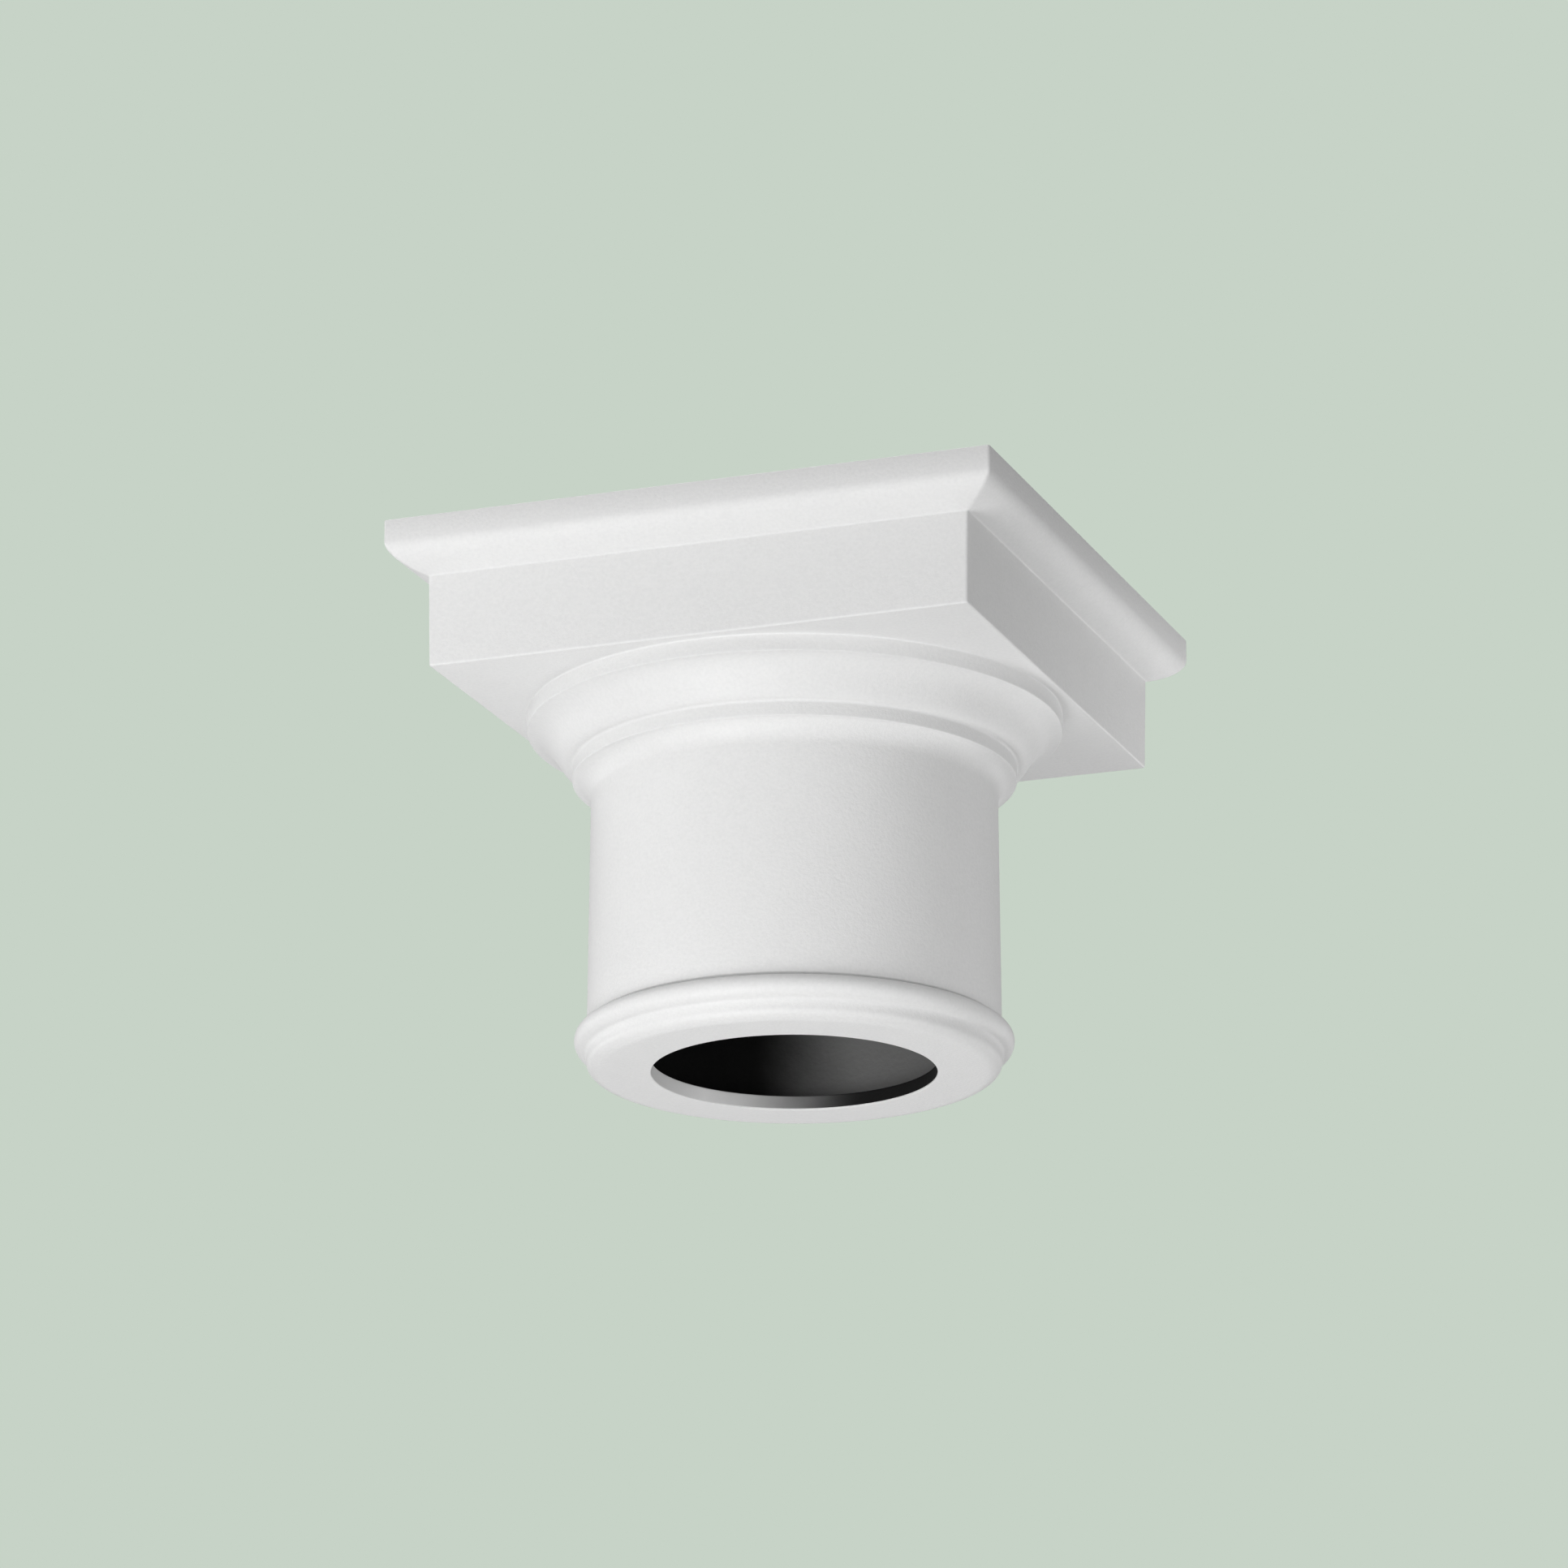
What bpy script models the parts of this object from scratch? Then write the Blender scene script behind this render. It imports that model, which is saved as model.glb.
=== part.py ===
"""Column capital for a round post: a square moulded abacus over a turned echinus, neck and astragal.

One hollow moulding, open at both ends so that it slides over a structural post.
Metres, +Z up. The origin is the centre of the flat underside; the sides of the abacus face X and Y.
"""
import math

import bmesh
import bpy

# Underside, foot and astragal, from the ground up
UNDERSIDE_DIAMETER = 0.2090
FOOT_CHAMFER_HEIGHT = 0.0056
FOOT_FILLET_DIAMETER = 0.2206
FOOT_FILLET_HEIGHT = 0.0046
ASTRAGAL_DIAMETER = 0.2338
ASTRAGAL_HEIGHT = 0.0124

# Neck, the plain drum between the astragal and the cove
NECK_LOWER_DIAMETER = 0.2204
NECK_UPPER_DIAMETER = 0.2182
NECK_HEIGHT = 0.1270

# Cove and collar, which carry the echinus
COVE_HEIGHT = 0.0118
COLLAR_DIAMETER = 0.2386
COLLAR_HEIGHT = 0.0066
COLLAR_ROUNDING = 0.0016

# Echinus: a hollow above a round, under a plain band
ECHINUS_DIAMETER = 0.2876
ECHINUS_HEIGHT = 0.0188
ECHINUS_UPPER_PULL = 0.0140
ECHINUS_LOWER_PULL = 0.0075
ECHINUS_BAND_HEIGHT = 0.0101

# Abacus: a square fascia under a crown whose plain band rounds in to the fascia in one curve
FASCIA_WIDTH = 0.3000
FASCIA_HEIGHT = 0.0495
FASCIA_DRAFT = 0.0008
CROWN_WIDTH = 0.3380
CROWN_BAND_HEIGHT = 0.0118
CROWN_CURVE_HEIGHT = 0.0155
CROWN_CURVE_DROP = 0.0072
CROWN_CURVE_REACH = 0.0070
CROWN_CURVE_SLOPE = 15.0

# Hollow inside
BORE_DIAMETER = 0.1520
LIP_HEIGHT = 0.0080
CAVITY_DIAMETER = 0.1840
TOP_PLATE_THICKNESS = 0.0240

# Facets round the turned surfaces, and points along the curves of the profile
TURNED_STEPS = 80
COVE_POINTS = 5
OGEE_POINTS = 8
BEAD_POINTS = 8
CROWN_POINTS = 7

# Cutters and joined forms run this far past the surfaces they meet
OVERRUN = 0.0100

MERGE_DISTANCE = 0.00001
PAINT_COLOUR = (0.80, 0.80, 0.79, 1.0)
PAINT_ROUGHNESS = 0.55


def arc(centre, width, height, start, end, count):
    """Points along an elliptical arc, from the start angle to the end angle in degrees."""
    points = []
    for step in range(count + 1):
        angle = math.radians(start + (end - start) * step / count)
        points.append((centre[0] + width * math.cos(angle), centre[1] + height * math.sin(angle)))
    return points


def curve(start, leaves_towards, arrives_from, end, count):
    """Points along the cubic curve between two ends, whose directions there are set by two more points."""
    corners = (start, leaves_towards, arrives_from, end)
    points = []
    for step in range(count + 1):
        t = step / count
        weights = ((1 - t) ** 3, 3 * t * (1 - t) ** 2, 3 * t ** 2 * (1 - t), t ** 3)
        points.append(tuple(sum(w * c[axis] for w, c in zip(weights, corners)) for axis in (0, 1)))
    return points


def levels():
    """Heights of the moulding's breaks above the underside."""
    level = {"fillet": FOOT_CHAMFER_HEIGHT}
    level["astragal"] = level["fillet"] + FOOT_FILLET_HEIGHT
    level["neck"] = level["astragal"] + ASTRAGAL_HEIGHT
    level["cove"] = level["neck"] + NECK_HEIGHT
    level["collar"] = level["cove"] + COVE_HEIGHT
    level["echinus"] = level["collar"] + COLLAR_HEIGHT + COLLAR_ROUNDING
    level["band"] = level["echinus"] + ECHINUS_HEIGHT
    level["soffit"] = level["band"] + ECHINUS_BAND_HEIGHT
    level["crown"] = level["soffit"] + FASCIA_HEIGHT
    level["crown band"] = level["crown"] + CROWN_CURVE_HEIGHT
    level["top"] = level["crown band"] + CROWN_BAND_HEIGHT
    return level


def turned_profile(level):
    """Outer side of everything below the abacus, from inside the abacus down to the underside."""
    echinus = ECHINUS_DIAMETER / 2
    collar = COLLAR_DIAMETER / 2
    neck_upper = NECK_UPPER_DIAMETER / 2
    bead_centre = (ASTRAGAL_DIAMETER / 2 - ASTRAGAL_HEIGHT / 2, level["astragal"] + ASTRAGAL_HEIGHT / 2)
    fillet = FOOT_FILLET_DIAMETER / 2

    points = [(0, level["soffit"] + OVERRUN), (echinus, level["soffit"] + OVERRUN)]
    round_end = (collar + COLLAR_ROUNDING, level["echinus"])
    points += curve((echinus, level["band"]), (echinus - ECHINUS_UPPER_PULL, level["band"]),
                    (round_end[0] + ECHINUS_LOWER_PULL, level["echinus"]), round_end, OGEE_POINTS)
    points += [(collar, level["echinus"] - COLLAR_ROUNDING), (collar, level["collar"])]
    points += arc((collar, level["cove"]), collar - neck_upper, COVE_HEIGHT, 90, 180, COVE_POINTS)[1:]
    points += [(NECK_LOWER_DIAMETER / 2, level["neck"])]
    points += arc(bead_centre, ASTRAGAL_HEIGHT / 2, ASTRAGAL_HEIGHT / 2, 90, -90, BEAD_POINTS)[1:]
    points += [(fillet, level["astragal"]), (fillet, level["fillet"])]
    points += [(UNDERSIDE_DIAMETER / 2, 0), (0, 0)]
    return points


def abacus_profile(level):
    """Outer side of the square abacus from the top down to the soffit, as half widths."""
    crown = CROWN_WIDTH / 2
    fascia = FASCIA_WIDTH / 2
    fascia_head = (fascia + FASCIA_DRAFT, level["crown"])
    slope = math.radians(CROWN_CURVE_SLOPE)
    arrives_from = (fascia_head[0] + CROWN_CURVE_REACH * math.cos(slope),
                    fascia_head[1] + CROWN_CURVE_REACH * math.sin(slope))

    points = [(0, level["top"]), (crown, level["top"])]
    points += curve((crown, level["crown band"]), (crown, level["crown band"] - CROWN_CURVE_DROP),
                    arrives_from, fascia_head, CROWN_POINTS)
    points += [(fascia, level["soffit"]), (0, level["soffit"])]
    return points


def hollow_profile(level):
    """Outer side of the space inside: the opening in the top plate, the cavity and the bore of the lip."""
    bore = BORE_DIAMETER / 2
    cavity = CAVITY_DIAMETER / 2
    ceiling = level["top"] - TOP_PLATE_THICKNESS
    return [(0, level["top"] + OVERRUN), (bore, level["top"] + OVERRUN), (bore, ceiling), (cavity, ceiling),
            (cavity, LIP_HEIGHT), (bore, LIP_HEIGHT), (bore, -OVERRUN), (0, -OVERRUN)]


def turn(name, profile, steps, collection):
    """Object made by turning a profile round Z."""
    mesh = bpy.data.meshes.new(name)
    shape = bmesh.new()
    corners = [shape.verts.new((radius, 0, height)) for radius, height in profile]
    for upper, lower in zip(corners, corners[1:]):
        shape.edges.new((upper, lower))
    shape.to_mesh(mesh)
    shape.free()
    turned = bpy.data.objects.new(name, mesh)
    collection.objects.link(turned)
    screw = turned.modifiers.new("Turn", "SCREW")
    screw.steps = steps
    screw.render_steps = steps
    screw.use_merge_vertices = True
    screw.merge_threshold = MERGE_DISTANCE
    return turned


def combine(target, other, operation):
    """Joins another object to the target, or cuts it away, and shows the other as a wire guide."""
    boolean = target.modifiers.new(other.name, "BOOLEAN")
    boolean.operation = operation
    boolean.solver = "EXACT"
    boolean.object = other
    other.hide_render = True
    other.display_type = "WIRE"


def paint():
    """White primer on rigid moulded foam."""
    material = bpy.data.materials.new("white_primer")
    material.use_nodes = True
    shader = material.node_tree.nodes["Principled BSDF"]
    shader.inputs["Base Color"].default_value = PAINT_COLOUR
    shader.inputs["Roughness"].default_value = PAINT_ROUGHNESS
    shader.inputs["Metallic"].default_value = 0.0
    return material


def main():
    for old in list(bpy.data.objects):
        bpy.data.objects.remove(old, do_unlink=True)

    parts = bpy.data.collections.new("column_capital")
    guides = bpy.data.collections.new("column_capital_guides")
    bpy.context.scene.collection.children.link(parts)
    bpy.context.scene.collection.children.link(guides)

    level = levels()
    capital = turn("capital", turned_profile(level), TURNED_STEPS, parts)
    capital.data.materials.append(paint())

    # Four steps turn the profile into a mitred square, so half widths grow to half diagonals
    diagonal = [(half * math.sqrt(2), height) for half, height in abacus_profile(level)]
    abacus = turn("abacus_form", diagonal, 4, guides)
    abacus.rotation_euler.z = math.radians(45)
    combine(capital, abacus, "UNION")

    hollow = turn("hollow_form", hollow_profile(level), TURNED_STEPS, guides)
    combine(capital, hollow, "DIFFERENCE")


main()
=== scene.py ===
import math

import bmesh
import bpy
from mathutils import Matrix, Vector


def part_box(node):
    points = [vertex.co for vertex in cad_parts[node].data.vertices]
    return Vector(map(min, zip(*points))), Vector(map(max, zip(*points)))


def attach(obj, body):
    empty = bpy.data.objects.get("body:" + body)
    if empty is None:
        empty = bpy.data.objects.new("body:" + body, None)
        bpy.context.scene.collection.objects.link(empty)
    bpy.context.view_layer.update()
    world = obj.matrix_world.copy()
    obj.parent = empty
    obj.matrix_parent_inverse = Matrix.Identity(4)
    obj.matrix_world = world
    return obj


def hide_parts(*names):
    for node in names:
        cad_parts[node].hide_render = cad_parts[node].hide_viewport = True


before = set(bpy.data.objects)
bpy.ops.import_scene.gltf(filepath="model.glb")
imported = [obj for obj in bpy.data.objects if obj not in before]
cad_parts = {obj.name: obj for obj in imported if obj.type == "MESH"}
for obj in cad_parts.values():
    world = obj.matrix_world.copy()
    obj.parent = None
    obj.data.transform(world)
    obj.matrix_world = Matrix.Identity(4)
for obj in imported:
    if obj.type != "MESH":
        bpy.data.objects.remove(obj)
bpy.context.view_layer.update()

# The abacus is the square head: a crown whose plain band rounds in under itself, a tall fascia and a soffit.
# The whole capital is one moulding of rigid foam from a closed mould, so nothing is mitred or joined, and
# the primer leaves every arris a little blunt. The outer side is drawn from the top down.
(low_x, _, underside), (high_x, _, top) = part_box("capital")
crown_half = (high_x - low_x) / 2
crown_band_height = 0.0118
crown_curve_height = 0.0155
crown_curve_drop = 0.0072
crown_curve_reach = 0.0070
crown_curve_slope = math.radians(15.0)
fascia_half = 0.1500
fascia_height = 0.0502
fascia_draft = 0.0008
mitre_arris = 0.0015
arris = 0.0010
fine_arris = 0.0005
flat_margin = 0.0005
crown_points = 18

crown_band_level = top - crown_band_height
crown_level = crown_band_level - crown_curve_height
soffit_level = crown_level - fascia_height


def curve(start, leaves_towards, arrives_from, end, count):
    """Points on a cubic curve between two ends, without them; two more points set its directions there."""
    corners = (start, leaves_towards, arrives_from, end)
    points = []
    for step in range(1, count):
        t = step / count
        weights = ((1 - t) ** 3, 3 * t * (1 - t) ** 2, 3 * t * t * (1 - t), t ** 3)
        points.append(tuple(sum(w * c[axis] for w, c in zip(weights, corners)) for axis in (0, 1)))
    return points


def blunt(before, corner, after, radius, steps=4):
    """Rounds a corner, outward or inward, with a point just off each end that keeps the flats flat."""
    corner = Vector(corner)
    backward = (Vector(before) - corner).normalized()
    onward = (Vector(after) - corner).normalized()
    half_angle = backward.angle(onward) / 2
    reach = radius / math.tan(half_angle)
    centre = corner + (backward + onward).normalized() * (radius / math.sin(half_angle))
    spoke = corner + backward * reach - centre
    sweep = spoke.angle_signed(corner + onward * reach - centre)
    points = [corner + backward * (reach + flat_margin)]
    for step in range(steps + 1):
        points.append(centre + Matrix.Rotation(-sweep * step / steps, 2) @ spoke)
    points.append(corner + onward * (reach + flat_margin))
    return [tuple(point) for point in points]


crown_arris = (crown_half, top)
crown_band_foot = (crown_half, crown_band_level)
fascia_head = (fascia_half + fascia_draft, crown_level)
fascia_foot = (fascia_half, soffit_level)
crown_arrival = (fascia_head[0] + crown_curve_reach * math.cos(crown_curve_slope),
                 fascia_head[1] + crown_curve_reach * math.sin(crown_curve_slope))
abacus_profile = blunt((0, top), crown_arris, crown_band_foot, fine_arris, steps=2)[:-1]
abacus_profile += [crown_band_foot]
abacus_profile += curve(crown_band_foot, (crown_half, crown_band_level - crown_curve_drop),
                        crown_arrival, fascia_head, crown_points)[:-1]
abacus_profile += blunt(crown_arrival, fascia_head, fascia_foot, arris)
abacus_profile += blunt(fascia_head, fascia_foot, (0, soffit_level), arris)

# The echinus is the turned cushion that carries the abacus: a plain band, then a hollow that runs into a
# round and ends on a narrow collar. It is cast in the same skin as the abacus.
band_height = 0.0094
band_fillet = 0.0008
echinus_radius = 0.1438
echinus_height = 0.0188
echinus_hollow_pull = 0.0140
echinus_round_pull = 0.0075
collar_radius = 0.1193
collar_rounding = 0.0016
collar_height = 0.0070
echinus_points = 30

band_level = soffit_level - band_height
echinus_level = band_level - echinus_height
collar_level = echinus_level - collar_rounding - collar_height

band_head = (echinus_radius, soffit_level)
band_foot = (echinus_radius, band_level)
echinus_end = (collar_radius + collar_rounding, echinus_level)
collar_head = (collar_radius, echinus_level)
collar_foot = (collar_radius, collar_level)
turned_profile = blunt(fascia_foot, band_head, band_foot, band_fillet)
turned_profile += blunt(band_head, band_foot, (0, band_level), fine_arris, steps=3)
turned_profile += curve(band_foot, (echinus_radius - echinus_hollow_pull, band_level),
                        (echinus_end[0] + echinus_round_pull, echinus_level), echinus_end,
                        echinus_points)[1:]
turned_profile += blunt(echinus_end, collar_head, collar_foot, collar_rounding, steps=6)
turned_profile += blunt(collar_head, collar_foot, (0, collar_level), fine_arris)

# The neck is a plain drum, drawn in a little towards its head, where a cove spreads it out to the collar.
# At its foot a narrow groove runs in above the astragal, as a turner marks off a bead.
neck_upper_radius = 0.1091
neck_lower_radius = 0.1102
cove_height = 0.0114
cove_pull = 0.50
cove_points = 16
groove_head_level = underside + 0.0246
groove_foot_level = underside + 0.0230
groove_depth = 0.0018

cove_level = collar_level - cove_height
cove_start = (collar_radius - 2 * flat_margin, collar_level)
cove_end = (neck_upper_radius, cove_level)
cove_width = cove_start[0] - neck_upper_radius
turned_profile += curve(cove_start, (cove_start[0] - cove_pull * cove_width, collar_level),
                        (neck_upper_radius, cove_level + cove_pull * cove_height), cove_end, cove_points)
turned_profile += [cove_end]
groove_back = neck_lower_radius - groove_depth
groove_head = (neck_lower_radius, groove_head_level)
groove_floor = (groove_back, (groove_head_level + groove_foot_level) / 2)
turned_profile += blunt(cove_end, groove_head, groove_floor, fine_arris)
turned_profile += [groove_floor, (groove_back, groove_foot_level)]

# The astragal is a plain half-round bead over a small cove and a foot that rounds in to the underside, which
# is flat and rests on the head of the shaft.
astragal_radius = 0.1169
astragal_height = 0.0128
foot_cove_radius = 0.1103
foot_cove_pull_in = 0.0013
foot_cove_pull_down = 0.0004
foot_cove_pull_up = 0.0028
foot_cove_points = 8
foot_round_level = underside + 0.0052
foot_round_points = 14
underside_radius = 0.1024
bead_last_angle = -74
bead_points = 20

bead_radius = astragal_height / 2
bead_centre = (astragal_radius - bead_radius, groove_foot_level - bead_radius)


def elliptical_arc(centre, width, height, first, last, count):
    """Points round an ellipse between two angles in degrees above the level."""
    angles = [math.radians(first + (last - first) * step / count) for step in range(count + 1)]
    return [(centre[0] + width * math.cos(a), centre[1] + height * math.sin(a)) for a in angles]


turned_profile += elliptical_arc(bead_centre, bead_radius, bead_radius, 90, bead_last_angle, bead_points)
bead_end = turned_profile[-1]
foot_cove_end = (foot_cove_radius, foot_round_level)
turned_profile += curve(bead_end, (bead_end[0] - foot_cove_pull_in, bead_end[1] - foot_cove_pull_down),
                        (foot_cove_radius, foot_round_level + foot_cove_pull_up), foot_cove_end,
                        foot_cove_points)
turned_profile += elliptical_arc((underside_radius, foot_round_level), foot_cove_radius - underside_radius,
                                 foot_round_level - underside, 0, -90, foot_round_points)

# The hollow inside: a thin lip round the bore at the underside, a wider cavity above it that keeps the walls
# of even thickness, and a top plate with an opening of the bore's size. The post passes right through.
bore_radius = 0.0760
cavity_radius = 0.0920
lip_height = 0.0080
top_plate = 0.0240

bore_edge = (bore_radius, underside)
lip_head = (bore_radius, underside + lip_height)
lip_back = (cavity_radius, underside + lip_height)
ceiling_corner = (cavity_radius, top - top_plate)
opening_foot = (bore_radius, top - top_plate)
opening_head = (bore_radius, top)
turned_profile += [(underside_radius - flat_margin, underside)]
turned_profile += blunt((underside_radius, underside), bore_edge, lip_head, fine_arris)
inner_profile = [(bore_radius, underside + arris + flat_margin)]
inner_profile += blunt(bore_edge, lip_head, lip_back, fine_arris, steps=3)
inner_profile += [lip_back, ceiling_corner]
inner_profile += blunt(ceiling_corner, opening_foot, opening_head, fine_arris, steps=2)
inner_profile += blunt(opening_foot, opening_head, crown_arris, arris)

# One set of bearings serves the square rings and the round ones, with a cluster at each mitre for its blunt
# edge. The rings are joined from the crown down the outside, in at the bore and up the inside to the top.
bearings_per_side = 72
side_share = 0.998
mitre_steps = 6


def ring_bearings():
    """Angle round the axis and mitre position (0 to 1 across a corner, else None) of a ring's points."""
    bearings = []
    mitre_centre = fascia_half - mitre_arris
    edge = math.degrees(math.atan2(mitre_centre, fascia_half))
    for side in range(4):
        middle = 90.0 * side
        for step in range(bearings_per_side + 1):
            along_side = edge * side_share * (2 * step / bearings_per_side - 1)
            bearings.append((middle + along_side, None))
        for step in range(mitre_steps + 1):
            turn = math.radians(90.0 * step / mitre_steps)
            across = mitre_centre + mitre_arris * math.cos(turn)
            along = mitre_centre + mitre_arris * math.sin(turn)
            bearings.append((middle + math.degrees(math.atan2(along, across)), step / mitre_steps))
    return bearings


def ring_points(bearings, half, height, square):
    """Corners of one ring: a circle, or a square with its four mitres blunted."""
    points = []
    for angle, mitre in bearings:
        if not square:
            turn = math.radians(angle)
            points.append((half * math.cos(turn), half * math.sin(turn), height))
            continue
        side = round((angle - (45 if mitre is not None else 0)) / 90)
        if mitre is None:
            across, along = half, half * math.tan(math.radians(angle - 90 * side))
        else:
            turn = math.radians(90 * mitre)
            across = half - mitre_arris + mitre_arris * math.cos(turn)
            along = half - mitre_arris + mitre_arris * math.sin(turn)
        spun = Matrix.Rotation(math.radians(90 * side), 2) @ Vector((across, along))
        points.append((spun.x, spun.y, height))
    return points


def loft_moulding(name, stages):
    """Closed mesh through the rings of every stage, which is a profile, its squareness and its slot."""
    shape = bmesh.new()
    bearings = ring_bearings()
    rings = []
    for profile, square, slot in stages:
        for half, height in profile:
            ring = [shape.verts.new(point) for point in ring_points(bearings, half, height, square)]
            rings.append((ring, slot))
    count = len(bearings)
    for (upper, _), (lower, slot) in zip(rings, rings[1:] + rings[:1]):
        for here in range(count):
            there = (here + 1) % count
            face = shape.faces.new((upper[here], lower[here], lower[there], upper[there]))
            face.material_index = slot
            face.smooth = True
    mesh = bpy.data.meshes.new(name)
    shape.to_mesh(mesh)
    shape.free()
    moulding = bpy.data.objects.new(name, mesh)
    bpy.context.scene.collection.objects.link(moulding)
    return moulding


# The inside's faces take a material whose colour is painted shade and painted light.
painted, inside_slot = 0, 1
capital = loft_moulding("capital_moulding", [
    (abacus_profile, True, painted),
    (turned_profile, False, painted),
    (inner_profile, False, inside_slot),
])

# Shaders are written as sums on their sockets, and each operator adds the Math node that it stands for.


class Signal:
    """A shader socket that carries a number."""

    def __init__(self, tree, socket):
        self.tree = tree
        self.socket = socket

    def node(self, kind, settings=None, output=0, **inputs):
        """Any other node: its type, its settings, and its sockets' values or links, by name or as i0."""
        made = self.tree.nodes.new(kind)
        for setting, value in (settings or {}).items():
            setattr(made, setting, value)
        for name, value in inputs.items():
            socket = made.inputs[int(name[1:]) if name[1:].isdigit() else name]
            if isinstance(value, Signal):
                self.tree.links.new(value.socket, socket)
            else:
                socket.default_value = value
        return Signal(self.tree, made.outputs[output])

    def maths(self, operation, first, second):
        return self.node("ShaderNodeMath", {"operation": operation}, i0=first, i1=second)

    def __add__(self, other):
        return self.maths("ADD", self, other)

    __radd__ = __add__

    def __sub__(self, other):
        return self.maths("SUBTRACT", self, other)

    def __rsub__(self, other):
        return self.maths("SUBTRACT", other, self)

    def __mul__(self, other):
        return self.maths("MULTIPLY", self, other)

    __rmul__ = __mul__


# White primer, sprayed on the foam in the works: a soft sheen, the faint stipple that a spray gun leaves,
# slow swells of the foam under it, and here and there a patch that dried a little flatter.
primer_white = (0.807, 0.807, 0.804, 1.0)
primer_shade = (0.770, 0.771, 0.769, 1.0)
primer_roughness = 0.50
stipple_size = 0.0018
stipple_height = 1.6
stipple_tint = 2.4
stipple_sheen = 0.08
patch_size = 0.019
patch_tint = 0.9
patch_sheen = 0.16
swell_size = 0.060
swell_height = 2.0
mean_shade = 0.35
relief_strength = 0.35
relief_distance = 0.0004

primer = bpy.data.materials.new("white_primer")
primer.use_nodes = True
primer_shader = primer.node_tree.nodes["Principled BSDF"]
primer_shader.inputs["Specular IOR Level"].default_value = 0.35
place = Signal(primer.node_tree, primer.node_tree.nodes.new("ShaderNodeTexCoord").outputs["Object"])
stipple = place.node("ShaderNodeTexNoise", i0=place, Scale=1 / stipple_size, Detail=2.0, Roughness=0.6)
swell = place.node("ShaderNodeTexNoise", i0=place, Scale=1 / swell_size, Detail=3.0, Roughness=0.5)
patches = place.node("ShaderNodeTexNoise", i0=place, Scale=1 / patch_size, Detail=4.0, Roughness=0.65)
shade = (patches - 0.5) * patch_tint + (stipple - 0.5) * stipple_tint + mean_shade
tint = place.node("ShaderNodeMix", {"data_type": "RGBA"}, 2, Factor=shade, i6=primer_white, i7=primer_shade)
sheen = primer_roughness + (patches - 0.5) * patch_sheen + (stipple - 0.5) * stipple_sheen
relief = place.node("ShaderNodeBump", Strength=relief_strength, Distance=relief_distance,
                    Height=stipple * stipple_height + swell * swell_height)
for socket, value in (("Base Color", tint), ("Roughness", sheen), ("Normal", relief)):
    primer.node_tree.links.new(value.socket, primer_shader.inputs[socket])

# Inside, the mould's skin is painted near-black, as painted shade for the dark hollow, with small pores.
# Painted light covers the left of the lip and fades towards its right, and more painted light greys the
# right of the cavity.
# Painted shade: two near-black tones, streaked at random, that darken the whole inside.
painted_shade_dark = (0.003, 0.003, 0.003, 1.0)
painted_shade_streak = (0.009, 0.009, 0.009, 1.0)
pore_size = 0.0035
streak_size = 0.030
# Painted light, placed along the model's x with an edge that wavers at random: on the lip from the left, and
# on the right of the cavity.
lip_painted_light_full = -0.065
lip_painted_light_end = 0.012
cavity_painted_light_start = -0.052
cavity_painted_light_full = 0.010
cavity_painted_light_cover = 0.50
painted_light_edge_waver = 0.010
skin_roughness = 0.75
pore_sheen = 0.3
pore_strength = 0.3
pore_depth = 0.0006

skin = bpy.data.materials.new("inside_painted_shade_and_light")
skin.use_nodes = True
skin_shader = skin.node_tree.nodes["Principled BSDF"]
skin_shader.inputs["Specular IOR Level"].default_value = 0.20
depth = Signal(skin.node_tree, skin.node_tree.nodes.new("ShaderNodeTexCoord").outputs["Object"])
pores = depth.node("ShaderNodeTexNoise", i0=depth, Scale=1 / pore_size, Detail=4.0, Roughness=0.7)
streaks = depth.node("ShaderNodeTexNoise", i0=depth, Scale=1 / streak_size, Detail=3.0, Roughness=0.6)
rightward = depth.node("ShaderNodeSeparateXYZ", output=0, i0=depth) + (streaks - 0.5) * painted_light_edge_waver
upward = depth.node("ShaderNodeSeparateXYZ", output=2, i0=depth)


def ramp(value, start, end, first, last, interpolation="SMOOTHSTEP"):
    """A signal that runs from one level to another between two places."""
    return value.node("ShaderNodeMapRange", {"interpolation_type": interpolation}, Value=value,
                      i1=start, i2=end, i3=first, i4=last)


lip_top = underside + lip_height
on_lip = ramp(upward, lip_top, lip_top + fine_arris, 1.0, 0.0)
# Painted light on the lip: full on its left, fading out towards its right, which is left in painted shade.
lip_painted_light_fade = ramp(rightward, lip_painted_light_full, lip_painted_light_end, 1.0, 0.0, "LINEAR")
lip_painted_light = on_lip * lip_painted_light_fade * lip_painted_light_fade
# Painted light greys the right of the cavity, above the lip.
cavity_painted_light = (1.0 - on_lip) * ramp(rightward, cavity_painted_light_start, cavity_painted_light_full, 0.0, cavity_painted_light_cover)
painted_shade_colour = depth.node("ShaderNodeMix", {"data_type": "RGBA"}, 2, Factor=streaks,
                         i6=painted_shade_dark, i7=painted_shade_streak)
# The inside's colour: painted shade, lightened by the painted light on the lip and in the cavity.
inside_shade_and_light_colour = depth.node("ShaderNodeMix", {"data_type": "RGBA"}, 2, Factor=lip_painted_light + cavity_painted_light,
                           i6=painted_shade_colour, i7=primer_white)
skin_sheen = skin_roughness + (pores - 0.5) * pore_sheen
skin_relief = depth.node("ShaderNodeBump", Strength=pore_strength, Distance=pore_depth, Height=pores)
for socket, value in (("Base Color", inside_shade_and_light_colour), ("Roughness", skin_sheen), ("Normal", skin_relief)):
    skin.node_tree.links.new(value.socket, skin_shader.inputs[socket])

capital.data.materials.append(primer)
capital.data.materials.append(skin)
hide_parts("capital")
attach(capital, "root")

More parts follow.
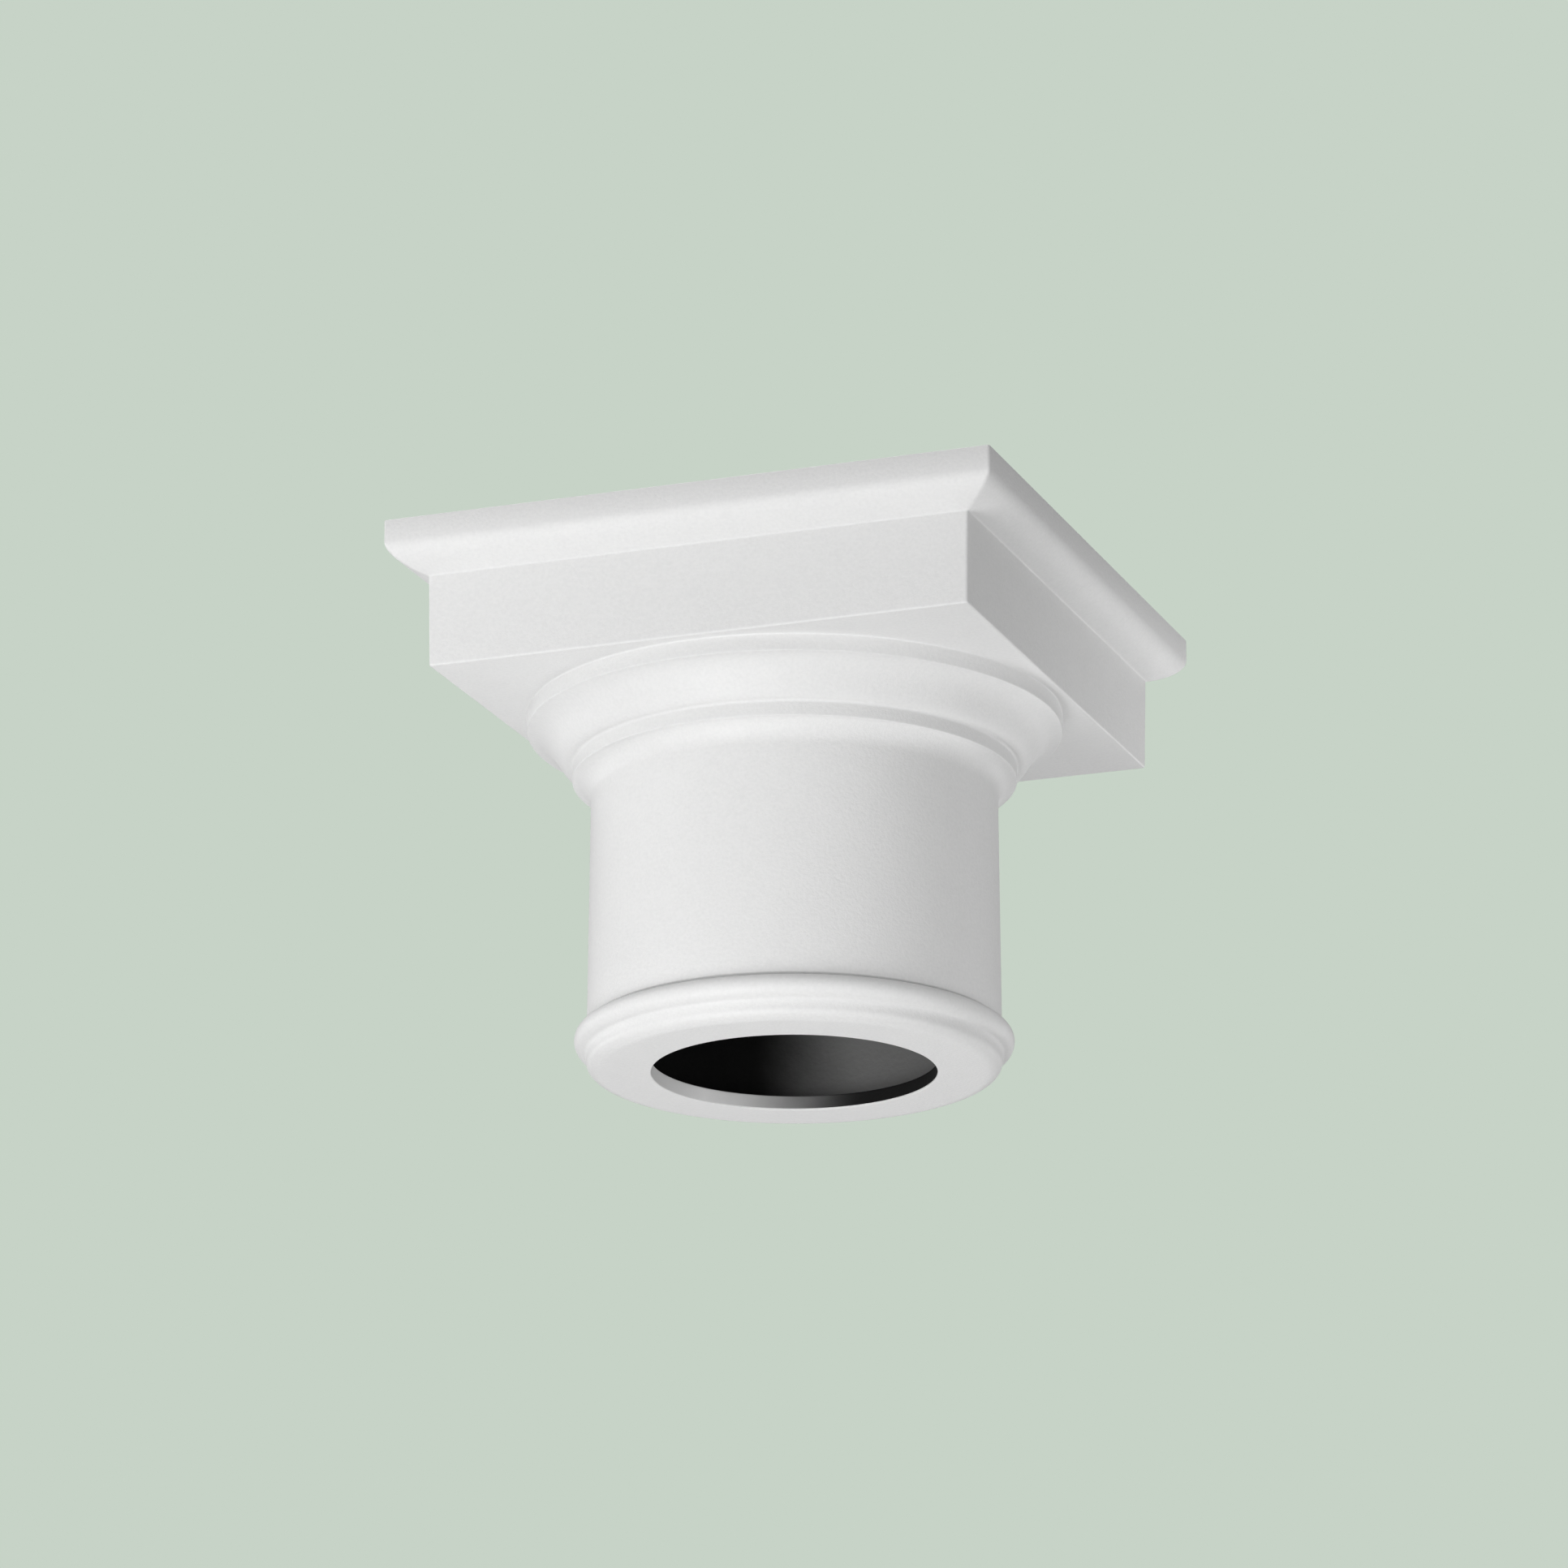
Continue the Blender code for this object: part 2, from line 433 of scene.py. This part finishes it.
# Floor of the studio, a plain pale ground far enough below that the capital can be seen from underneath. It
# glows softly, so that it meets the ground behind without an edge, and throws no light on the capital.
floor_level = -4.40
floor_half = 30.0
floor_whole = 20.0
floor_colour = (0.15, 0.171, 0.15, 1.0)
floor_glow_colour = (0.571, 0.651, 0.571, 1.0)
floor_glow = 0.783
floor_roughness = 0.9

floor_mesh = bpy.data.meshes.new("studio_floor")
floor_shape = bmesh.new()
bmesh.ops.create_grid(floor_shape, x_segments=1, y_segments=1, size=floor_half)
floor_shape.to_mesh(floor_mesh)
floor_shape.free()
floor = bpy.data.objects.new("studio_floor", floor_mesh)
floor.location.z = floor_level
floor.visible_diffuse = False
floor.visible_glossy = False
floor.visible_shadow = False
bpy.context.scene.collection.objects.link(floor)
floor_paint = bpy.data.materials.new("studio_floor")
floor_paint.use_nodes = True
floor_shader = floor_paint.node_tree.nodes["Principled BSDF"]
floor_shader.inputs["Base Color"].default_value = floor_colour
floor_shader.inputs["Roughness"].default_value = floor_roughness
floor_shader.inputs["Specular IOR Level"].default_value = 0.0
floor_shader.inputs["Emission Color"].default_value = floor_glow_colour
floor_shader.inputs["Emission Strength"].default_value = floor_glow
spot = Signal(floor_paint.node_tree, floor_paint.node_tree.nodes.new("ShaderNodeTexCoord").outputs["Object"])
away = spot.node("ShaderNodeVectorMath", {"operation": "LENGTH"}, 1, i0=spot)
edge_fade = ramp(away, floor_whole, floor_half, 1.0, 0.0)
floor_paint.node_tree.links.new(edge_fade.socket, floor_shader.inputs["Alpha"])
floor.data.materials.append(floor_paint)

# Soft studio light: a plain pale ground behind, and large soft lamps in steps of five degrees. The key is
# low on the left of the front, fills run round from the front to the right, and the rest light the sides,
# the back and the top.
ground_colour = (0.571, 0.651, 0.571, 1.0)
ambient = 0.20
lit_point = Vector((0.0, 0.0, 0.15))
far_lamp_angle = math.radians(32)
near_lamp_width_share = 0.55

world = bpy.data.worlds.new("studio")
world.use_nodes = True
bpy.context.scene.world = world
ground = Signal(world.node_tree, world.node_tree.nodes.new("ShaderNodeLightPath").outputs["Is Camera Ray"])
ground_light = world.node_tree.nodes["Background"]
ground_light.inputs["Strength"].default_value = 1.0
ground_mix = ground.node("ShaderNodeMix", {"data_type": "RGBA"}, 2, i0=ground,
                         i6=(ambient, ambient, ambient, 1.0), i7=ground_colour)
world.node_tree.links.new(ground_mix.socket, ground_light.inputs["Color"])


def shine(name, bearing, height, strength, distance=None):
    """A soft lamp on the bearing and height of the side that it shines from, far off or at a distance."""
    lamp = bpy.data.lights.new(name, "AREA" if distance else "SUN")
    holder = bpy.data.objects.new(name, lamp)
    holder.rotation_euler = (math.radians(90 - height), 0, math.radians(bearing))
    if distance:
        lamp.shape = "DISK"
        lamp.size = near_lamp_width_share * distance
        lamp.energy = strength * 4 * math.pi * distance ** 2
        holder.location = lit_point + holder.rotation_euler.to_matrix() @ Vector((0, 0, distance))
        holder.visible_camera = False
    else:
        lamp.angle = far_lamp_angle
        lamp.energy = strength
    bpy.context.scene.collection.objects.link(holder)


shine("key", bearing=-20, height=-45, strength=0.30, distance=1.6)
shine("key_front", bearing=-20, height=-25, strength=0.12, distance=0.9)
shine("fill_front", bearing=0, height=-10, strength=0.30)
shine("fill_low", bearing=20, height=-30, strength=0.30)
shine("fill_right", bearing=55, height=-20, strength=0.32)
shine("under_right", bearing=85, height=-40, strength=0.10, distance=0.9)
shine("side_right", bearing=120, height=5, strength=0.05, distance=0.4)
shine("side_left", bearing=-60, height=15, strength=0.10, distance=0.9)
shine("far_left", bearing=-105, height=0, strength=0.55)
shine("rim_right", bearing=150, height=-15, strength=0.12, distance=0.9)
shine("rim_left", bearing=-155, height=-40, strength=0.12, distance=1.6)
shine("top_front", bearing=25, height=40, strength=0.32)
shine("top_back", bearing=-135, height=70, strength=1.80)

# Camera of the photograph: low, to the right of the front, looking up under the abacus. Bearing, height and
# roll are in degrees.
camera_bearing = 20.397
camera_height = -17.468
camera_roll = 0.072
camera_distance = 3.9913
aim = Vector((-0.0053, -0.0020, 0.1607))
lens = 170.83
sensor_width = 36.0

camera = bpy.data.cameras.new("camera")
camera.lens = lens
camera.sensor_width = sensor_width
viewer = bpy.data.objects.new("camera", camera)
turn = Matrix.Rotation(math.radians(camera_bearing), 4, "Z")
tilt = Matrix.Rotation(math.radians(90 - camera_height), 4, "X")
roll = Matrix.Rotation(math.radians(camera_roll), 4, "Z")
back_off = Matrix.Translation((0, 0, camera_distance))
viewer.matrix_world = Matrix.Translation(aim) @ turn @ tilt @ back_off @ roll
bpy.context.scene.collection.objects.link(viewer)
bpy.context.scene.camera = viewer
bpy.context.scene.view_settings.view_transform = "Standard"
